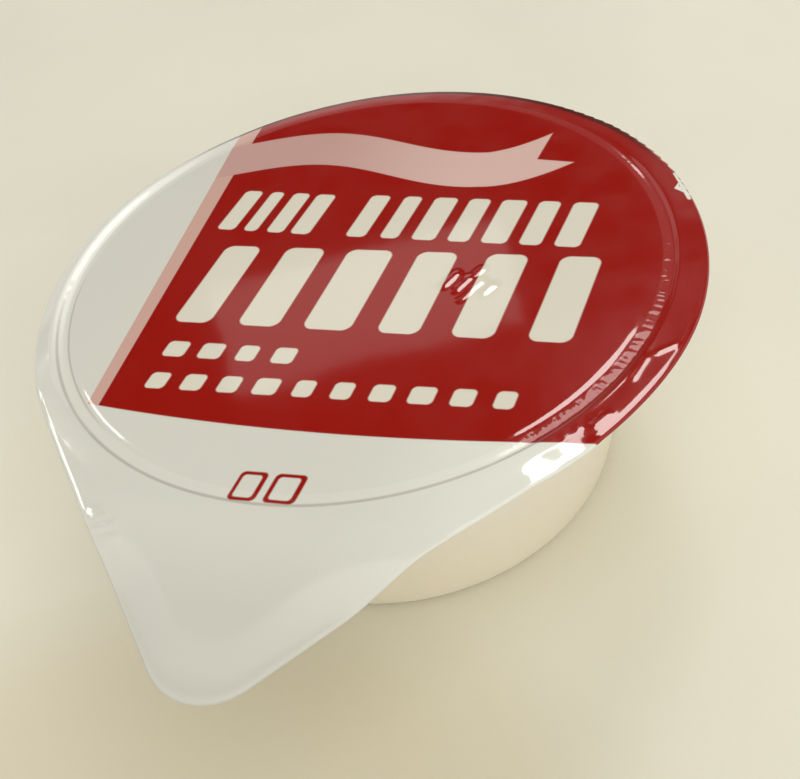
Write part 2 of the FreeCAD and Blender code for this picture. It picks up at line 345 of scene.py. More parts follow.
class CupSettings(bpy.types.PropertyGroup):
    """Sizes and colour of the moulded cup."""

    flange_radius: length("Flange radius", FLANGE_RADIUS, "Outer radius of the sealing flange")
    height: length("Height", RIM_HEIGHT, "From the table to the top of the flange")
    mouth_radius: length("Mouth radius", 17.0, "Radius of the wall where it meets the flange")
    foot_radius: length("Foot radius", 14.2, "Radius of the wall at the table, before rounding")
    foot_round: length("Foot rounding", 0.8, "Radius between the wall and the base")
    flange_thickness: length("Flange thickness", 0.6, "Thickness of the flange")
    recess: length("Base recess", 0.35, "How far the base is pushed up inside its foot ring")
    plastic: tint("Plastic", (0.88, 0.845, 0.775), "Milky plastic with the butter behind it")


class LidSettings(bpy.types.PropertyGroup):
    """Sizes of the lid film."""

    radius: length("Radius", LID_RADIUS, "Radius of the lid outside its tab")
    thickness: length("Thickness", 0.12, "Thickness of the film")
    tab_spread: angle("Tab spread", 95.0, "Angle between the two straight sides of the tab")
    tab_round: length("Tab rounding", 3.4, "Radius of the tab's tip")
    droop_angle: angle("Droop", 23.0, "How steeply the tab hangs down behind the flange")
    tip_angle: angle("Tip angle", 6.0, "Slope of the tab's tip")
    bend_radius: length("Bend radius", 3.9, "Radius of the tab's two bends")
    droop_length: length("Droop length", 1.5, "Straight part between the two bends")
    tab_sag: length("Tab sag", 1.7, "How far the middle of the tab's tip hangs below the flange")
    seal_rise: length("Seal rise", 0.02, "Height of the seal's fine ribs")


class PrintSettings(bpy.types.PropertyGroup):
    """Colours of the lid's film and print, and of the light and shade painted on them."""

    white: tint("White", (0.67, 0.665, 0.59), "Unprinted film")
    red: tint("Red", (0.31, 0.006, 0.002), "Field")
    ribbon: tint("Ribbon", (0.56, 0.34, 0.30), "Ribbon across the field")
    # A painted sheen: the ribbon eases to this lighter tone towards its right end.
    sheen: tint("Ribbon end", (0.69, 0.465, 0.41), "The ribbon's far end")
    stripe: tint("Stripe", (0.61, 0.38, 0.315), "Stripe down the field's side")
    blocks: tint("Blocks", (0.72, 0.68, 0.56), "Rows of plain blocks")
    # A painted highlight: the unprinted film eases to this lighter tone towards the lid's right, where the
    # light falls most.
    bare: tint("Bare film", (0.77, 0.77, 0.68), "Unprinted film at the lid's right, where it is lightest")
    # Painted shade: the tab's hanging tip darkens towards this tone.
    tip: tint("Tab tip", (0.28, 0.265, 0.22), "What the tab's hanging tip is darkened towards")
    # A painted shadow: the dark line just inside the cut edge at the lid's back, where the edge curls down.
    worn: tint("Worn rim", (0.02, 0.012, 0.008), "Dark worn edge at the lid's back")
    # A painted highlight: the film turns this whitish tone along the seal's left.
    stretched: tint("Highlit film", (0.86, 0.86, 0.78), "Highlighted film along the seal's left")
    # Painted shade: fine dark lines along the seal's groove.
    pressed: tint("Shadow lines", (0.13, 0.1, 0.08), "Fine dark lines along the seal")


class StageSettings(bpy.types.PropertyGroup):
    """Table, lights and camera."""

    table: tint("Table", (0.765, 0.735, 0.605), "Pale table top")
    bright: share("Bright side", 0.8, "Brightness of the room on the cup's right")
    dark: share("Dark side", 0.78, "Brightness of the room on the cup's left")
    backdrop: share("Backdrop light", 0.01, "Brightness of the dim part of the room that the lid mirrors")
    ceiling: share("Ceiling light", 1.0, "Brightness of the broad light overhead")
    window: share("Window light", 10.0, "Brightness of the window behind the cup")
    panel: share("Panel light", 0.8, "Brightness of the pale panel that the lid mirrors")
    lens: bpy.props.FloatProperty(
        name="Focal length", description="Focal length of the lens", default=49.5, unit="CAMERA"
    )


def smooth(low, high, value):
    """0 below low, 1 above high and an even ease between them."""
    t = min(1.0, max(0.0, (value - low) / (high - low)))
    return t * t * (3 - 2 * t)


def between(value, start, full, fading, end):
    """1 on a stretch of values, with an even ease before and after it."""
    return smooth(start, full, value) * (1 - smooth(fading, end, value))


def hump(value, centre, width):
    """A rounded bump, 1 high at its centre."""
    return math.exp(-(((value - centre) / width) ** 2))


def height_on(line, value):
    """The height at a value along a line of (value, height) points, level past its ends."""
    if value <= line[0][0]:
        return line[0][1]
    for (start, low), (stop, high) in zip(line, line[1:]):
        if value <= stop:
            return low + (high - low) * (value - start) / (stop - start)
    return line[-1][1]


def crease(x, y, fold):
    """Height of one fold at a point: a rounded ridge that fades out past its ends."""
    x1, y1, x2, y2, height, width = fold
    run_x, run_y = x2 - x1, y2 - y1
    run = math.hypot(run_x, run_y)
    along = ((x - x1) * run_x + (y - y1) * run_y) / run
    off = ((x - x1) * run_y - (y - y1) * run_x) / run
    past = max(0.0, -along, along - run)
    if abs(off) > 3 * width or past > 3 * width:
        return 0.0
    return height * math.exp(-(off * off + past * past) / (width * width))


def tinted(color, shares):
    """A colour with shares of its red, green and blue."""
    return tuple(part * left for part, left in zip(color, shares))


def spread(start, stop, count):
    """Evenly spaced values, without the last one."""
    return [start + (stop - start) * i / count for i in range(count)]


# ---------------------------------------------------------------- materials


class Net:
    """Adds nodes to one node tree with short calls."""

    def __init__(self, tree):
        self.tree = tree

    def add(self, kind, settings=None, **inputs):
        node = self.tree.nodes.new(kind)
        for key, value in (settings or {}).items():
            setattr(node, key, value)
        for key, value in inputs.items():
            self.feed(node.inputs[key.replace("_", " ")], value)
        return node

    def feed(self, socket, value):
        if isinstance(value, bpy.types.NodeSocket):
            self.tree.links.new(value, socket)
        elif value is not None:
            if socket.type == "RGBA" and len(value) == 3:
                value = (*value, 1.0)
            socket.default_value = value

    def math(self, operation, a, b=None, c=None):
        node = self.tree.nodes.new("ShaderNodeMath")
        node.operation = operation
        for socket, value in zip(node.inputs, (a, b, c)):
            self.feed(socket, value)
        return node.outputs[0]

    def plus(self, a, b):
        return self.math("ADD", a, b)

    def minus(self, a, b):
        return self.math("SUBTRACT", a, b)

    def times(self, a, b):
        return self.math("MULTIPLY", a, b)

    def opposite(self, mask):
        return self.math("SUBTRACT", 1.0, mask)

    def squared(self, value):
        return self.math("POWER", value, 2.0)

    def past(self, value, limit):
        """How far a value is over a limit, and nothing below it."""
        return self.math("MAXIMUM", self.minus(value, limit), 0.0)

    def linear(self, value, scale, offset):
        return self.math("MULTIPLY_ADD", value, scale, offset)

    def dot(self, vector, fixed):
        """How far a vector points along a fixed one."""
        node = self.add("ShaderNodeVectorMath", {"operation": "DOT_PRODUCT"}, Vector=vector)
        node.inputs[1].default_value = fixed
        return node.outputs["Value"]

    def radius(self, x, y, middle):
        """Distance from an upright line through a middle."""
        out_x = self.squared(self.minus(x, middle.x))
        out_y = self.squared(self.minus(y, middle.y))
        return self.math("SQRT", self.plus(out_x, out_y))

    def step(self, value, soft=0.05):
        """0 where value is below nothing, 1 above it, with a soft edge."""
        return self.fade(value, -soft, soft)

    def fade(self, value, low, high, start=0.0, end=1.0):
        """An even ease from start, where value is low, to end, where it is high."""
        node = self.add("ShaderNodeMapRange", {"interpolation_type": "SMOOTHSTEP"}, Value=value)
        for name, number in (("From Min", low), ("From Max", high), ("To Min", start), ("To Max", end)):
            node.inputs[name].default_value = number
        return node.outputs["Result"]

    def band(self, value, start, full, fading, end):
        """1 on a band of values, with an even ease before and after it."""
        return self.times(self.fade(value, start, full), self.fade(value, fading, end, 1.0, 0.0))

    def line(self, value, place, core, end):
        """1 on a fine line at a place, eased to 0 from its core to its end on both sides."""
        return self.fade(self.math("ABSOLUTE", self.minus(value, place)), core, end, 1.0, 0.0)

    def mix(self, factor, a, b):
        node = self.tree.nodes.new("ShaderNodeMix")
        node.data_type = "RGBA"
        self.feed(node.inputs["Factor"], factor)
        self.feed([s for s in node.inputs if s.name == "A" and s.type == "RGBA"][0], a)
        self.feed([s for s in node.inputs if s.name == "B" and s.type == "RGBA"][0], b)
        return [s for s in node.outputs if s.type == "RGBA"][0]

    def noise(self, vector, scale, detail=2.0):
        return self.add("ShaderNodeTexNoise", Vector=vector, Scale=scale, Detail=detail).outputs[0]


def new_group(name, inputs, outputs):
    """A shader node group with named sockets."""
    tree = bpy.data.node_groups.new(name, "ShaderNodeTree")
    for socket_name, kind in inputs:
        tree.interface.new_socket(socket_name, in_out="INPUT", socket_type="NodeSocket" + kind)
    for socket_name, kind in outputs:
        tree.interface.new_socket(socket_name, in_out="OUTPUT", socket_type="NodeSocket" + kind)
    net = Net(tree)
    start = tree.nodes.new("NodeGroupInput")
    end = tree.nodes.new("NodeGroupOutput")
    return net, start.outputs, end.inputs


def place_group(net, name, **inputs):
    """One use of a node group, which is built the first time."""
    if name not in bpy.data.node_groups:
        GROUPS[name]()
    node = net.tree.nodes.new("ShaderNodeGroup")
    node.node_tree = bpy.data.node_groups[name]
    for key, value in inputs.items():
        net.feed(node.inputs[key.replace("_", " ")], value)
    return node.outputs


def block_row_group():
    """A row of plain rounded blocks of uneven width, leaning a little."""
    sizes = [(size, "Float") for size in ROW_SIZES]
    net, given, out = new_group("block row", [("Vector", "Vector"), *sizes], [("Mask", "Float")])
    xyz = net.add("ShaderNodeSeparateXYZ", Vector=given["Vector"]).outputs
    base = net.linear(net.minus(xyz["X"], given["Left"]), given["Rise"], given["Base"])
    up = net.minus(xyz["Y"], base)
    along = net.minus(net.minus(xyz["X"], net.times(up, given["Lean"])), given["Left"])
    cell = net.math("DIVIDE", along, given["Pitch"])
    number = net.math("FLOOR", cell)
    inside = net.times(net.minus(net.minus(cell, number), 0.5), given["Pitch"])
    chance = net.add("ShaderNodeTexWhiteNoise", {"noise_dimensions": "1D"}, W=net.plus(number, given["Seed"]))
    uneven = net.linear(chance.outputs["Value"], UNEVEN, 1 - UNEVEN)
    half_width = net.times(net.times(given["Width"], uneven), 0.5)
    half_height = net.times(given["Height"], 0.5)
    across = net.past(net.math("ABSOLUTE", inside), net.minus(half_width, given["Round"]))
    off = net.math("ABSOLUTE", net.minus(up, half_height))
    high = net.past(off, net.minus(half_height, given["Round"]))
    reach = net.add("ShaderNodeCombineXYZ", X=across, Y=high).outputs[0]
    corner = net.add("ShaderNodeVectorMath", {"operation": "LENGTH"}, Vector=reach).outputs["Value"]
    shape = net.step(net.minus(given["Round"], corner), soft=0.06)
    first = net.math("GREATER_THAN", cell, 0.0)
    last = net.math("LESS_THAN", cell, given["Count"])
    net.feed(out["Mask"], net.times(shape, net.times(first, last)))


def block_rows(net, vector, rows):
    """All the blocks of some rows."""
    blocks = None
    for row in rows:
        mask = place_group(net, "block row", Vector=vector, **dict(zip(ROW_SIZES, row)))["Mask"]
        blocks = mask if blocks is None else net.math("MAXIMUM", blocks, mask)
    return blocks


def ribbon_mask(net, x, y):
    """The waving ribbon with its notched far end."""
    wave = net.math("COSINE", net.linear(x, math.pi / HALF_WAVE, WAVE_SHIFT * math.pi / HALF_WAVE))
    lift = net.squared(net.past(x, LIFT_FROM))
    centre = net.plus(net.linear(wave, WAVE_HEIGHT, WAVE_MIDDLE), net.times(lift, RIBBON_LIFT))
    half = net.linear(net.past(x, FLARE_FROM), RIBBON_FLARE, RIBBON_HALF)
    band = net.step(net.minus(half, net.math("ABSOLUTE", net.minus(y, centre))))
    above = net.step(net.minus(y, net.linear(x, *NOTCH_TOP)))
    beyond = net.step(net.minus(x, net.linear(y, *NOTCH_SIDE)))
    end = net.step(net.minus(RIBBON_END, x))
    return net.times(net.times(band, net.opposite(net.times(above, beyond))), end)


def off_sliver(net, x, y, chip):
    """0 on an unprinted sliver and 1 off it, with a soft edge."""
    x1, y1, x2, y2, width = chip
    run = math.hypot(x2 - x1, y2 - y1)
    ahead, aside = (x2 - x1) / run, (y2 - y1) / run
    along = net.plus(net.linear(x, ahead, -x1 * ahead - y1 * aside), net.times(y, aside))
    off = net.plus(net.linear(x, aside, y1 * ahead - x1 * aside), net.times(y, -ahead))
    beyond = net.past(net.math("ABSOLUTE", net.minus(along, run / 2)), run / 2)
    away = net.plus(net.squared(off), net.squared(beyond))
    return net.fade(away, (width * 0.6) ** 2, width**2)


def lid_print_group():
    """The lid's print, in millimetres from the cup's axis: field, stripe, ribbon and rows of blocks, with
    painted light towards the lid's right, painted shade at the tab's tip and a painted shadow along the rim
    at the back.
    """
    tones = [(tone, "Color") for tone in PRINT_TONES]
    net, given, out = new_group("lid print", [("Vector", "Vector"), *tones], [("Color", "Color")])
    place = given["Vector"]
    xyz = net.add("ShaderNodeSeparateXYZ", Vector=place).outputs
    x, y = xyz["X"], xyz["Y"]

    inside = net.step(net.minus(x, net.linear(y, *FIELD_SIDE)))
    bow = net.squared(net.math("ABSOLUTE", net.minus(x, FOOT_MIDDLE)))
    above_foot = net.step(net.minus(y, net.linear(bow, FOOT_BOW, FOOT_HEIGHT)))
    from_stripe = net.step(net.minus(x, net.linear(y, *STRIPE_SIDE)))
    stripe = net.times(net.times(from_stripe, net.opposite(inside)), above_foot)
    ribbon = net.times(ribbon_mask(net, x, y), from_stripe)
    blocks = block_rows(net, place, BLOCK_ROWS)
    mark = net.times(block_rows(net, place, [MARK_ROW]), net.opposite(block_rows(net, place, [MARK_HOLES])))
    field = net.times(inside, above_foot)
    for chip in CHIPS:
        field = net.times(field, off_sliver(net, x, y, chip))

    # Painted highlight: the unprinted film grows lighter towards the lid's right.
    color = net.mix(net.fade(x, *SHINE_ACROSS), given["White"], given["Bare"])
    color = net.mix(field, color, given["Red"])
    color = net.mix(stripe, color, given["Stripe"])
    # Painted sheen: the ribbon grows lighter towards its right end.
    ribbon_with_sheen = net.mix(net.fade(x, *SHEEN_ACROSS), given["Ribbon"], given["Sheen"])
    color = net.mix(ribbon, color, ribbon_with_sheen)
    color = net.mix(net.times(blocks, field), color, given["Blocks"])
    color = net.mix(mark, color, given["Red"])
    # Painted shade: the hanging tab darkens towards its tip.
    color = net.mix(net.fade(y, *TIP_SHADE_ALONG), color, given["Tip"])
    # Painted shadow: a dark line just inside the cut edge at the lid's back.
    rim = net.fade(net.radius(x, y, LID_SHIFT), *RIM_SHADOW_RADII)
    worn = net.times(rim, net.fade(y, *RIM_SHADOW_ALONG))
    net.feed(out["Color"], net.mix(worn, color, given["Worn"]))


def film_ripple_group():
    """Fine unevenness of a thin plastic skin, as a height, and its cloudiness."""
    net, given, out = new_group(
        "film ripple", [("Vector", "Vector"), ("Scale", "Float")], [("Height", "Float"), ("Mottle", "Float")]
    )
    vector = net.add(
        "ShaderNodeVectorMath", {"operation": "SCALE"}, Vector=given["Vector"], Scale=given["Scale"]
    ).outputs["Vector"]
    broad = net.noise(vector, 0.12, 2.0)
    fine = net.noise(vector, 1.4, 3.0)
    net.feed(out["Height"], net.plus(net.times(broad, 0.8), net.times(fine, 0.05)))
    net.feed(out["Mottle"], net.noise(vector, 0.5, 3.0))


GROUPS = {
    "block row": block_row_group,
    "lid print": lid_print_group,
    "film ripple": film_ripple_group,
}


def seal_masks(net, vector):
    """Where the film is scuffed at the seal, where a painted highlight whitens it along the left, and its
    fine lines of painted shade along the groove.
    """
    axes = net.add("ShaderNodeSeparateXYZ", Vector=vector).outputs
    x, y = axes["X"], axes["Y"]
    radius = net.radius(x, y, SEAL_SHIFT)
    end = net.fade(x, *SCUFF_OUTER_ACROSS)
    within = net.opposite(net.step(net.minus(radius, end), soft=0.06))
    scuffed = net.times(net.fade(radius, *SCUFF_INNER), within)

    # Painted highlight along the seal's left.
    stretched = net.times(net.band(radius, *LEFT_HIGHLIGHT_BAND), net.fade(x, *LEFT_HIGHLIGHT_ACROSS))
    stretched = net.times(stretched, net.fade(y, *LEFT_HIGHLIGHT_ALONG))

    # Painted shade: fine dark lines along the seal's groove.
    outer = net.times(net.line(radius, *OUTER_LINE), net.fade(y, *OUTER_LINE_ALONG))
    front_left = net.times(net.fade(x, *INNER_LINE_ACROSS), net.fade(y, *INNER_LINE_ALONG))
    inner = net.times(net.line(radius, *INNER_LINE), front_left)
    return scuffed, stretched, net.math("MAXIMUM", outer, inner)


def millimetres(net):
    """Object coordinates in millimetres."""
    coords = net.tree.nodes.new("ShaderNodeTexCoord")
    mapping = net.add("ShaderNodeMapping", Vector=coords.outputs["Object"], Scale=(1 / MM,) * 3)
    return mapping.outputs["Vector"]


def new_material(name):
    """An empty material with its Principled shader."""
    material = bpy.data.materials.new(name)
    material.use_nodes = True
    net = Net(material.node_tree)
    shader = material.node_tree.nodes["Principled BSDF"]
    return material, net, shader.inputs


def printed_film(print_sheet):
    """The lid's top face: glossy film over the print, with a painted highlight and lines of painted shade
    along the seal.
    """
    material, net, shader = new_material("printed film")
    place = millimetres(net)
    tones = {tone: getattr(print_sheet, tone.lower()) for tone in PRINT_TONES}
    ink = place_group(net, "lid print", Vector=place, **tones)
    ripple = place_group(net, "film ripple", Vector=place, Scale=1.0)
    scuffed, stretched, lines = seal_masks(net, place)
    # Painted highlight: the film is whitened along the seal's left.
    color = net.mix(stretched, ink["Color"], print_sheet.stretched)
    # Painted shade along the seal's groove.
    net.feed(shader["Base Color"], net.mix(lines, color, print_sheet.pressed))
    gloss = net.fade(ripple["Mottle"], 0.3, 0.7, 0.16, 0.24)
    net.feed(shader["Roughness"], net.plus(gloss, net.times(scuffed, 0.14)))
    shader["IOR"].default_value = 1.5
    shader["Specular IOR Level"].default_value = 0.12
    net.feed(shader["Coat Weight"], net.linear(scuffed, -0.6, 1.0))
    shader["Coat Roughness"].default_value = 0.06
    bump = net.add("ShaderNodeBump", Height=ripple["Height"], Strength=0.4, Distance=0.0001)
    net.feed(shader["Normal"], bump.outputs["Normal"])
    return material


def sealing_film(print_sheet):
    """The lid's underside and cut edge: plain satin film."""
    material, net, shader = new_material("sealing film")
    place = millimetres(net)
    ripple = place_group(net, "film ripple", Vector=place, Scale=1.3)
    dull = tinted(print_sheet.white, UNDERSIDE_TINT)
    net.feed(shader["Base Color"], net.mix(ripple["Mottle"], print_sheet.white, dull))
    net.feed(shader["Roughness"], net.fade(ripple["Mottle"], 0.3, 0.7, 0.32, 0.42))
    bump = net.add("ShaderNodeBump", Height=ripple["Height"], Strength=0.3, Distance=0.0001)
    net.feed(shader["Normal"], bump.outputs["Normal"])
    return material


def milky_plastic(cup):
    """The cup: thin milky plastic, warmer low down, partly from the butter showing through and partly painted
    warm bounce light from the table.
    """
    material, net, shader = new_material("milky plastic")
    place = millimetres(net)
    ripple = place_group(net, "film ripple", Vector=place, Scale=0.8)
    height = net.add("ShaderNodeSeparateXYZ", Vector=place).outputs["Z"]
    warm = tinted(cup.plastic, BUTTER_AND_BOUNCE_TINT)
    # Partly the butter and partly painted warm bounce light from the table: the cup is warmer towards its
    # bottom.
    body = net.mix(net.fade(height, 1.0, 12.0), warm, cup.plastic)
    cloudy = net.mix(net.fade(ripple["Mottle"], 0.35, 0.65, 0.0, 0.25), body, warm)
    net.feed(shader["Base Color"], cloudy)
    net.feed(shader["Roughness"], net.fade(ripple["Mottle"], 0.3, 0.7, 0.3, 0.4))
    shader["Subsurface Weight"].default_value = 0.5
    shader["Subsurface Radius"].default_value = (1.0, 0.8, 0.5)
    shader["Subsurface Scale"].default_value = 0.002
    bump = net.add("ShaderNodeBump", Height=ripple["Height"], Strength=0.3, Distance=0.0001)
    net.feed(shader["Normal"], bump.outputs["Normal"])
    return material


def table_top(stage):
    """Pale table top with a faint cloudiness, and a painted soft shadow in front of the tab."""
    material, net, shader = new_material("table top")
    place = millimetres(net)
    cloud = net.noise(place, 0.03, 3.0)
    grain = net.noise(place, 2.5, 2.0)
    shade = tinted(stage.table, CLOUD_TINT)
    cloudy = net.mix(net.fade(cloud, 0.35, 0.65), stage.table, shade)
    axes = net.add("ShaderNodeSeparateXYZ", Vector=place).outputs
    aside, ahead = (
        net.squared(net.linear(axes[axis], 1 / half, -middle / half))
        for axis, half, middle in zip("XY", PAINTED_SHADOW_HALF, PAINTED_SHADOW_MIDDLE)
    )
    # Painted shadow: the table darkens in front of the tab, where the cup's shadow falls.
    near = net.fade(net.plus(aside, ahead), *PAINTED_SHADOW_FADE)
    net.feed(shader["Base Color"], net.mix(near, cloudy, tinted(stage.table, PAINTED_SHADOW_TINT)))
    shader["Roughness"].default_value = 0.45
    bump = net.add("ShaderNodeBump", Height=grain, Strength=0.15, Distance=0.0001)
    net.feed(shader["Normal"], bump.outputs["Normal"])
    return material


# ---------------------------------------------------------------- shapes


def spin_row(points, steps):
    """Spins a row of (radius, height) points round the upright axis into one closed surface."""
    bm = bmesh.new()
    row = [bm.verts.new((r, 0.0, z)) for r, z in points]
    edges = [bm.edges.new(pair) for pair in zip(row, row[1:])]
    bmesh.ops.spin(
        bm, geom=row + edges, cent=(0, 0, 0), axis=(0, 0, 1), angle=math.tau, steps=steps, use_merge=True
    )
    bmesh.ops.remove_doubles(bm, verts=bm.verts, dist=0.001)
    bmesh.ops.recalc_face_normals(bm, faces=bm.faces)
    return bm


def finish_mesh(bm, name, materials):
    """Turns a shape in millimetres into a smooth shaded object in metres."""
    bmesh.ops.scale(bm, vec=(MM, MM, MM), verts=bm.verts)
    for face in bm.faces:
        face.smooth = True
    mesh = bpy.data.meshes.new(name)
    bm.to_mesh(mesh)
    bm.free()
    for material in materials:
        mesh.materials.append(material)
    piece = bpy.data.objects.new(name, mesh)
    bpy.context.scene.collection.objects.link(piece)
    return piece


def arc(centre, radius, start, stop, count):
    """Points of an arc in the (radius, height) plane, angles in degrees."""
    turns = [math.radians(start + (stop - start) * i / count) for i in range(count + 1)]
    return [(centre[0] + radius * math.cos(t), centre[1] + radius * math.sin(t)) for t in turns]


def cup_outline(cup):
    """The cup's side view from the middle of the base to the middle of the mouth."""
    lean = math.atan2(cup.mouth_radius - cup.foot_radius, cup.height)
    rounding = cup.foot_round
    foot_centre = (cup.foot_radius - rounding * (1 - math.sin(lean)) / math.cos(lean), rounding)
    ring = foot_centre[0] - FOOT_RING_WIDTH
    points = [(ring * part, cup.recess) for part in (0.0, 0.3, 0.6, 0.85)]
    points += [(ring - 0.35, cup.recess - 0.01), (ring, cup.recess * 0.45), (ring + 0.3, 0.03)]
    points += arc(foot_centre, rounding, -90, -math.degrees(lean), 8)

    under = cup.height - cup.flange_thickness
    neck, parts = 0.6, 12
    for i in range(1, parts + 1):
        z = rounding + (under - neck - rounding) * i / parts
        points.append((cup.foot_radius + math.tan(lean) * z, z))
    corner = cup.foot_radius + math.tan(lean) * under
    points += [(corner + 0.03, under - 0.25), (corner + 0.2, under - 0.06), (corner + 0.5, under)]

    lip = 0.2
    edge = cup.flange_radius - lip
    points += arc((edge, under + lip), lip, -90, 0, 4)
    points += arc((edge, cup.height - lip), lip, 0, 90, 4)
    groove = cup.height - GROOVE_DEPTH
    points += [(GROOVE_OUTER[0], cup.height), (GROOVE_OUTER[1], groove)]
    points += [(GROOVE_INNER[0], groove), (GROOVE_INNER[1], cup.height)]
    points += [(cup.mouth_radius * 0.5, cup.height), (0.0, cup.height)]
    return points


def build_cup(cup):
    """The moulded cup, one closed form filled to its rim."""
    return spin_row(cup_outline(cup), CUP_STEPS)


def left_side(degrees):
    """1 at the lid's left, where its lip is lifted, eased to 0 on both sides of it."""
    return 1 - smooth(LIP_FULL, LIP_END, 180 - abs(degrees))


class LidShape:
    """Works out where each point of the lid film lies, in millimetres."""

    def __init__(self, lid):
        self.lid = lid
        self.half = lid.tab_spread / 2
        self.corner = (lid.radius - lid.tab_round) / math.cos(self.half)
        self.corner_turn = math.atan2(
            lid.tab_round * math.sin(self.half), self.corner + lid.tab_round * math.cos(self.half)
        )
        self.hang = self.hang_table()

    def hang_table(self):
        """How far the tab's sides hang below the lid's plane, step by step outwards."""
        lid = self.lid
        first = lid.bend_radius * math.sin(lid.droop_angle)
        second = first + lid.droop_length * math.cos(lid.droop_angle)
        second_end = second + lid.bend_radius * (math.sin(lid.droop_angle) - math.sin(lid.tip_angle))
        steep = math.tan(lid.droop_angle)
        drop, table = 0.0, [0.0]
        for i in range(int(HANG_LENGTH / HANG_STEP)):
            out = (i + 0.5) * HANG_STEP
            slope = steep * smooth(0, first, out)
            slope -= (steep - math.tan(lid.tip_angle)) * smooth(second, second_end, out)
            drop += slope * HANG_STEP
            table.append(drop)
        return table

    def hang_at(self, y):
        """How far the tab's sides hang at a distance in front of the cup's axis."""
        out = max(0.0, -y - HANG_START) / HANG_STEP
        low = min(int(out), len(self.hang) - 2)
        return self.hang[low] + (self.hang[low + 1] - self.hang[low]) * (out - low)

    def reach(self, turn):
        """Distance from the lid's own centre to its outline, turn being the angle from the tab."""
        turn = abs(turn)
        if turn >= self.half:
            return self.lid.radius
        if turn >= self.corner_turn:
            return self.lid.radius / math.cos(self.half - turn)
        off = self.corner * math.sin(turn)
        return self.corner * math.cos(turn) + math.sqrt(self.lid.tab_round**2 - off**2)

    def outline(self, azimuth):
        """Distance from the cup's axis to the lid's outline."""
        direction = Vector((math.cos(azimuth), math.sin(azimuth)))
        distance = self.lid.radius
        for _ in range(6):
            offset = direction * distance - LID_SHIFT
            turn = math.atan2(offset.x, -offset.y)
            distance += self.reach(turn) - offset.length
        return distance

    def cut_edge(self, degrees):
        """How far the cut outline strays: gentle bulges, and small steps along one side."""
        bulge = sum(size * hump(degrees, at, width) for size, at, width in EDGE_BULGES)
        tooth = (degrees / TOOTH_PITCH) % 1.0
        return bulge + TOOTH_SIZE * between(degrees, *TOOTHED) * (0.5 - tooth)

    def seal(self, r, degrees):
        """Height of the film across the sealing groove, with fine ribs where the sealing press bore hardest.
        """
        groove = FAINT + (1 - FAINT) * (between(degrees, *RIGHT_GROOVE) + between(degrees, *LEFT_GROOVE))
        dip = DIP_AT_LEFT + sum(change * smooth(low, high, degrees) for low, high, change in DIP_CHANGES)
        height = height_on(SEAL_GROOVE, r) * groove + height_on(SEAL_DIP, r) * dip
        height *= 1 - between(degrees, *BACK)

        ribs = noise.noise(Vector((degrees * 1.3, r * 1.2, 5.1)))
        sharp = FAINT + (1 - FAINT) * between(degrees, *RIBBED)
        height += self.lid.seal_rise * ribs * sharp * between(r, *RIBS)

        left = left_side(degrees)
        puckers = noise.noise(Vector((degrees % 360 * 0.45, r * 1.5, 9.4)))
        height += LIP_RISE * left * smooth(*LIP_RADII, r)
        return height + PUCKER_HEIGHT * left * puckers * between(r, *PUCKERS)

    def flange(self, r, degrees, edge, on_tab):
        """How far the film falls outwards over the flange and at its cut edge."""
        slope = FLANGE_SLOPE + LEFT_SLOPE * left_side(degrees)
        slope -= sum(less * hump(degrees, at, width) for less, at, width in LEVEL_PLACES)
        start = FALL_START + (FALL_START_AT_BACK - FALL_START) * between(degrees, *BACK)
        fall = slope * (1 - on_tab) * max(0.0, min(r, FALL_END) - start)

        wavy = SHOULDER_WAVE * noise.noise(Vector((degrees * 0.3, 4.2, 0.0)))
        past_shoulder = max(0.0, r - SHOULDER_START - wavy)
        fall += SHOULDER_SLOPE * between(degrees, *SHOULDER) * past_shoulder
        fall += EDGE_SLOPE * between(degrees, *BURRED) * max(0.0, BURR_WIDTH - edge)
        fall += EDGE_SLOPE * between(degrees, *ROLLED) * max(0.0, ROLL_WIDTH - edge)
        drop = EDGE_DROP + (EDGE_DROP_ON_TAB - EDGE_DROP) * on_tab
        return fall + drop * smooth(0.0, 1.0, 1 - edge / EDGE_ROUND)

    def droop(self, y, edge):
        """How far the tab hangs, with a softer bend in its middle than along its sides."""
        out = max(0.0, -y - ROUND_RADIUS)
        soft = self.lid.tab_sag * (out / (TAB_REACH - ROUND_RADIUS)) ** 1.3
        side = 1 - smooth(0.0, 3.0, edge)
        return soft + (self.hang_at(y) - soft) * side

    def ripple(self, x, y, distance):
        """Slight unevenness of the film, less in its middle."""
        broad = 0.025 * noise.noise(Vector((x * 0.22, y * 0.22, 3.1)))
        fine = 0.004 * noise.noise(Vector((x * 0.9, y * 0.9, 7.7)))
        return (broad + fine) * (0.4 + 0.6 * smooth(15, 19, distance))

    def place(self, r, azimuth):
        """The point of the film for a place on the flat disc of rings."""
        degrees = math.degrees(azimuth)
        outline = self.outline(azimuth) + self.cut_edge(degrees)
        distance = r
        if r > ROUND_RADIUS:
            t = (r - ROUND_RADIUS) / (self.lid.radius - ROUND_RADIUS)
            distance = ROUND_RADIUS + (outline - ROUND_RADIUS) * t
        edge = outline - distance
        shift = SEAL_SHIFT * (smooth(15.0, 17.0, r) * smooth(0.0, 0.9, edge))
        x = distance * math.cos(azimuth) + shift.x
        y = distance * math.sin(azimuth) + shift.y
        on_tab = smooth(*TAB_FROM, outline)
        z = RIM_HEIGHT + FILM_LIFT + self.seal(distance, degrees)
        z -= self.flange(distance, degrees, edge, on_tab) + self.droop(y, edge)
        z += self.ripple(x, y, distance) + sum(crease(x, y, fold) for fold in FOLDS)
        return Vector((x, y, z))


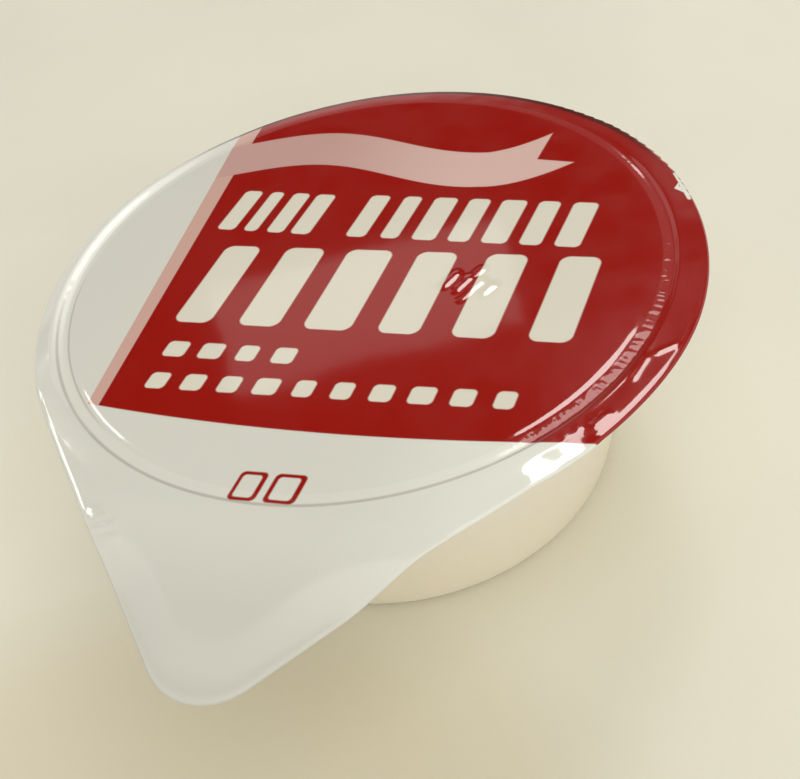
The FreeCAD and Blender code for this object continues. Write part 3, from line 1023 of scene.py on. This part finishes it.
def lid_rings(lid):
    """Ring radii of the flat disc: wide in the middle, close at the seal and the edge."""
    rings = spread(0.0, 16.5, 14) + spread(16.5, 17.2, 3) + spread(17.2, ROUND_RADIUS, 20)
    outside = 24
    for i in range(outside + 1):
        rings.append(ROUND_RADIUS + (lid.radius - ROUND_RADIUS) * (1 - (1 - i / outside) ** 1.25))
    return rings


def split_rings(bm, low, high, cuts):
    """Divides the round edges between two radii, so that fine ribs and steps have enough points."""
    chosen = []
    for edge in bm.edges:
        a, b = (v.co.xy.length for v in edge.verts)
        if abs(a - b) < SAME_RING and low < a < high:
            chosen.append(edge)
    bmesh.ops.subdivide_edges(bm, edges=chosen, cuts=cuts, use_grid_fill=True)


def split_crumple(bm, x, y, radius):
    """Divides the long edges round a spot, so that small folds have enough points."""
    chosen = []
    for edge in bm.edges:
        a, b = (v.co.xy for v in edge.verts)
        if abs(a.length - b.length) > 0.5 and ((a + b) / 2 - Vector((x, y))).length < radius:
            chosen.append(edge)
    bmesh.ops.subdivide_edges(bm, edges=chosen, cuts=9, use_grid_fill=True)


def build_lid(lid):
    """The lid film's top face, laid out flat as rings and then moved into place."""
    rings = lid_rings(lid)
    bm = spin_row([(r, 0.0) for r in rings], LID_STEPS)
    split_rings(bm, FINE_FROM, lid.radius + 1, 2)
    split_rings(bm, *FINEST, 1)
    split_crumple(bm, *CRUMPLE)
    shape = LidShape(lid)
    for vert in bm.verts:
        r = vert.co.xy.length
        spot = min(bisect.bisect(rings, r), len(rings) - 1)
        nearest = min(rings[max(0, spot - 1)], rings[spot], key=lambda ring: abs(ring - r))
        if abs(nearest - r) < SAME_RING:
            r = nearest
        vert.co = shape.place(r, math.atan2(vert.co.y, vert.co.x))
    bmesh.ops.recalc_face_normals(bm, faces=bm.faces)
    if sum(face.normal.z for face in bm.faces) < 0:
        bmesh.ops.reverse_faces(bm, faces=bm.faces)
    return bm


# ---------------------------------------------------------------- operators


class BUTTER_OT_cup(bpy.types.Operator):
    """Builds the moulded cup"""

    bl_idname = "butter.cup"
    bl_label = "Cup"

    def execute(self, context):
        cup = read_sheet(context.scene.butter_cup)
        piece = finish_mesh(build_cup(cup), "moulded_cup", [milky_plastic(cup)])
        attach(piece, "root")
        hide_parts("cup")
        return {"FINISHED"}


class BUTTER_OT_lid(bpy.types.Operator):
    """Builds the printed lid film with its seal and tab"""

    bl_idname = "butter.lid"
    bl_label = "Lid"

    def execute(self, context):
        lid = read_sheet(context.scene.butter_lid)
        sheet = context.scene.butter_print
        piece = finish_mesh(build_lid(lid), "lid_film", [printed_film(sheet), sealing_film(sheet)])
        wall = piece.modifiers.new("film", "SOLIDIFY")
        wall.thickness = lid.thickness * MM
        wall.offset = -1
        wall.material_offset = 1
        wall.material_offset_rim = 1
        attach(piece, "root")
        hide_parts("lid")
        return {"FINISHED"}


def direction(turn, climb):
    """The unit vector at a turn from +X and a climb over the table, in degrees."""
    turn, climb = math.radians(turn), math.radians(climb)
    return Vector((math.cos(turn) * math.cos(climb), math.sin(turn) * math.cos(climb), math.sin(climb)))


def soft_light(name, turn, climb, distance, width, height, brightness):
    """A soft light facing the cup from a direction in degrees, its sizes in metres."""
    data = bpy.data.lights.new(name, "AREA")
    data.shape = "RECTANGLE"
    data.size = width
    data.size_y = height
    data.energy = brightness * math.pi * width * height
    data.color = LAMP_COLOR
    lamp = bpy.data.objects.new(name, data)
    away = direction(turn, climb)
    facing = away.to_track_quat("Z", "Y").to_matrix().to_4x4()
    middle = Vector((0.0, 0.0, RIM_HEIGHT * MM))
    lamp.matrix_world = Matrix.Translation(middle + away * distance) @ facing
    bpy.context.scene.collection.objects.link(lamp)
    return lamp


def room_light(stage):
    """Light from all round, dim in the part of the room that the flat lid mirrors to the camera."""
    world = bpy.data.worlds.new("room")
    world.use_nodes = True
    net = Net(world.node_tree)
    place = net.add("ShaderNodeTexCoord").outputs["Generated"]
    to_dim, to_bright = (net.dot(place, direction(*side)) for side in (DIM_PART, BRIGHT_SIDE))
    wide = net.fade(to_bright, *BRIGHT_FADE, stage.dark, stage.bright)
    dim_end, dim_full = (math.cos(math.radians(off)) for off in (DIM_END, DIM_FULL))
    beside = net.fade(to_dim, dim_end, dim_full, 1.0, 0.0)
    height = net.add("ShaderNodeSeparateXYZ", Vector=place).outputs["Z"]
    below = net.fade(height, *DIM_ABOVE)
    lit = net.math("MAXIMUM", beside, below)
    strength = net.math("MULTIPLY_ADD", net.minus(wide, stage.backdrop), lit, stage.backdrop)
    background = world.node_tree.nodes["Background"]
    net.feed(background.inputs["Color"], ROOM_COLOR)
    net.feed(background.inputs["Strength"], strength)
    return world


def place_lights(stage):
    """Broad lights that only light, and smaller ones that only show mirrored in the film."""
    for *lamp, part in BROAD_LIGHTS:
        soft_light(*lamp, stage.ceiling * part).visible_glossy = False
    for *lamp, part in WINDOWS:
        soft_light(*lamp, stage.window * part).visible_diffuse = False
    soft_light(*PANEL, stage.panel).visible_diffuse = False


def place_camera(stage):
    """The camera above and in front of the cup, turned about its view."""
    data = bpy.data.cameras.new("camera")
    data.sensor_width = SENSOR_WIDTH
    data.lens = stage.lens
    data.clip_start = 0.001
    camera = bpy.data.objects.new("camera", data)
    facing = (CAMERA_PLACE - CAMERA_TARGET).to_track_quat("Z", "Y").to_matrix().to_4x4()
    roll = Matrix.Rotation(math.radians(CAMERA_ROLL), 4, "Z")
    camera.matrix_world = Matrix.Translation(CAMERA_PLACE * MM) @ facing @ roll
    bpy.context.scene.collection.objects.link(camera)
    return camera


class BUTTER_OT_stage(bpy.types.Operator):
    """Sets up the table, the soft lights and the camera"""

    bl_idname = "butter.stage"
    bl_label = "Stage"

    def execute(self, context):
        scene = context.scene
        stage = scene.butter_stage

        bm = bmesh.new()
        bmesh.ops.create_grid(bm, x_segments=8, y_segments=8, size=TABLE_SIZE)
        table = finish_mesh(bm, "table", [table_top(stage)])

        scene.world = room_light(stage)
        place_lights(stage)
        scene.camera = place_camera(stage)
        scene.view_settings.view_transform = "Standard"
        return {"FINISHED"}


class BUTTER_PT_cup(bpy.types.Panel):
    """Lists the pieces and their settings"""

    bl_idname = "BUTTER_PT_cup"
    bl_label = "Butter Portion Cup"
    bl_space_type = "VIEW_3D"
    bl_region_type = "UI"
    bl_category = "Butter Cup"

    def draw(self, context):
        layout = self.layout
        for sheet, title, operator in (
            ("butter_cup", "Cup", "butter.cup"),
            ("butter_lid", "Lid", "butter.lid"),
            ("butter_print", "Print", None),
            ("butter_stage", "Stage", "butter.stage"),
        ):
            box = layout.box()
            box.label(text=title)
            settings = getattr(context.scene, sheet)
            for name in settings.__annotations__:
                box.prop(settings, name)
            if operator:
                box.operator(operator)


SHEETS = {
    "butter_cup": CupSettings,
    "butter_lid": LidSettings,
    "butter_print": PrintSettings,
    "butter_stage": StageSettings,
}
CLASSES = (*SHEETS.values(), BUTTER_OT_cup, BUTTER_OT_lid, BUTTER_OT_stage, BUTTER_PT_cup)


def register():
    for cls in CLASSES:
        bpy.utils.register_class(cls)
    for name, cls in SHEETS.items():
        setattr(bpy.types.Scene, name, bpy.props.PointerProperty(type=cls))


def unregister():
    for name in SHEETS:
        delattr(bpy.types.Scene, name)
    for cls in reversed(CLASSES):
        bpy.utils.unregister_class(cls)


def main():
    """Builds the cup, its lid and the stage."""
    register()
    bpy.ops.butter.cup()
    bpy.ops.butter.lid()
    bpy.ops.butter.stage()
    bpy.context.view_layer.update()


if __name__ == "__main__":
    main()
